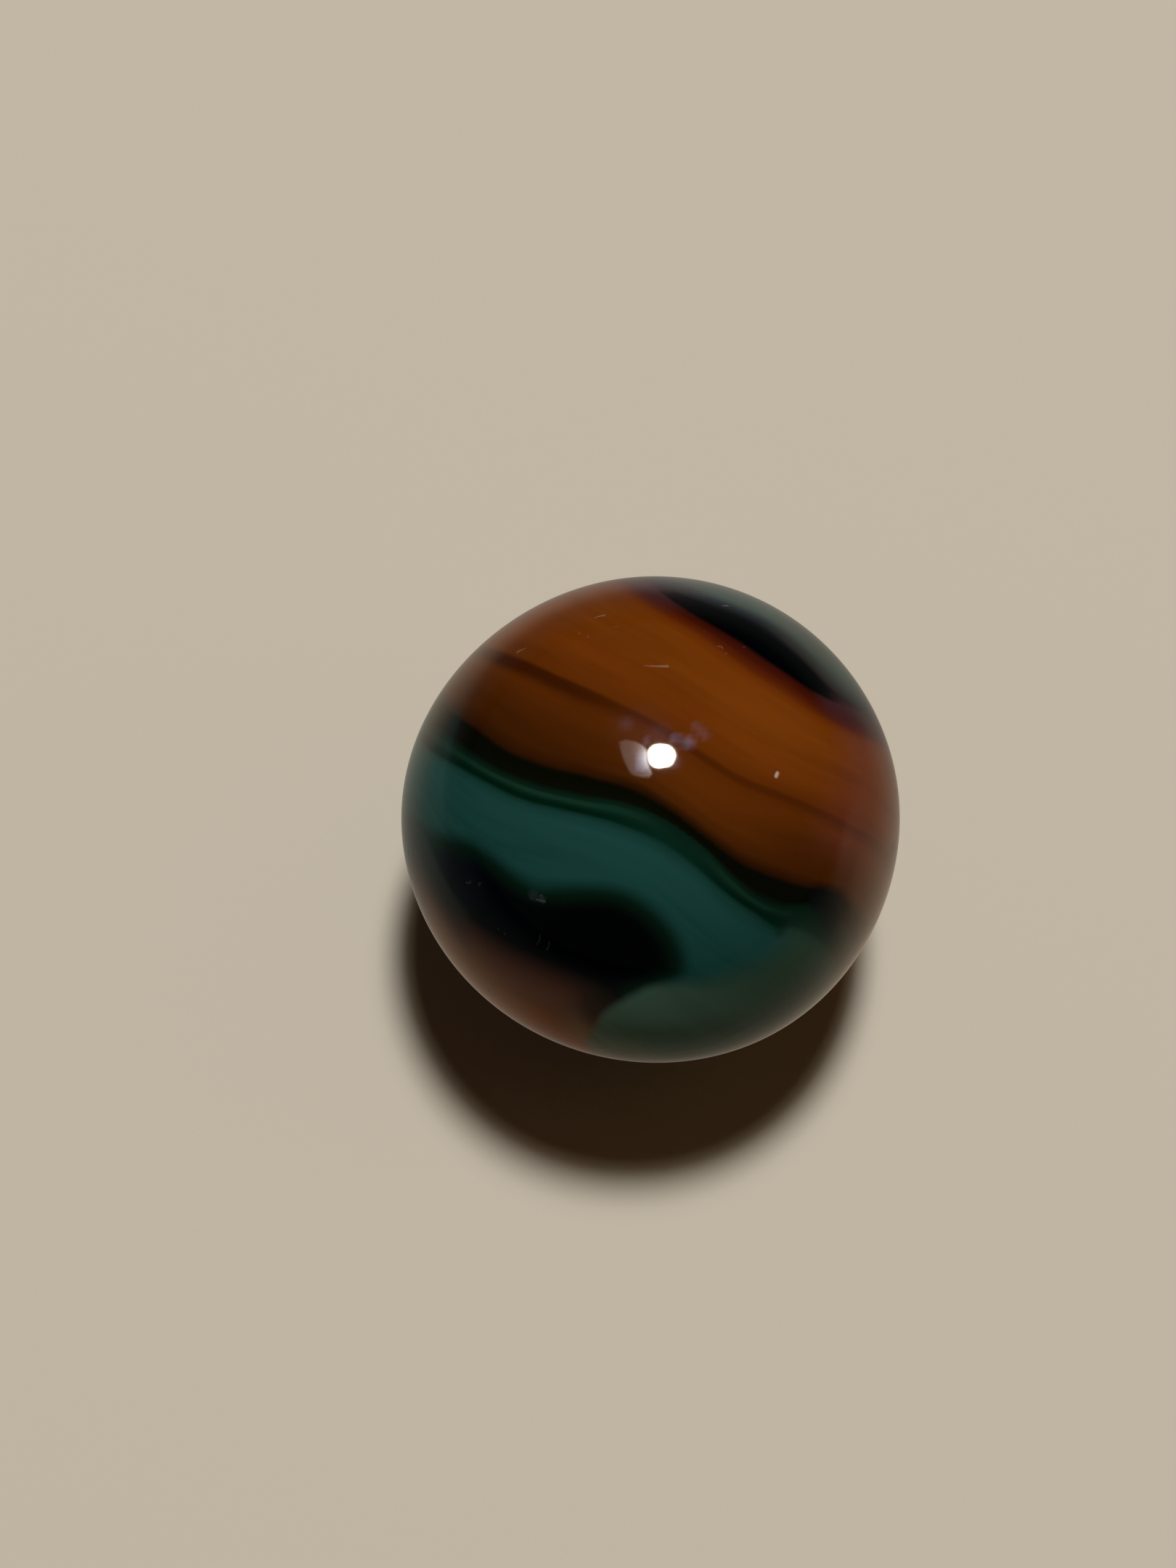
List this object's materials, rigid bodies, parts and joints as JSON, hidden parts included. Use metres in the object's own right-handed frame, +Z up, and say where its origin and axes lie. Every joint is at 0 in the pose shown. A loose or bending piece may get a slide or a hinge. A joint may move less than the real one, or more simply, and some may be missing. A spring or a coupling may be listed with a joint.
{
  "type": "glass marble",
  "caption": "Small ball of opaque swirled glass with orange-brown, black and green streams, slightly out of round, that rolls freely.",
  "frame": {"origin": "centre of the ball", "axes": "+X along the ball's longest diameter, +Y from front to back, +Z up"},
  "size_m": [0.016, 0.0156, 0.0156],
  "materials": {
    "swirl_glass": "opaque glossy glass, with flowing streams of orange-brown, black and blue-green, and light scratches from use"
  },
  "bodies": {
    "root": {"marble": "swirl_glass"}
  },
  "joints": []
}
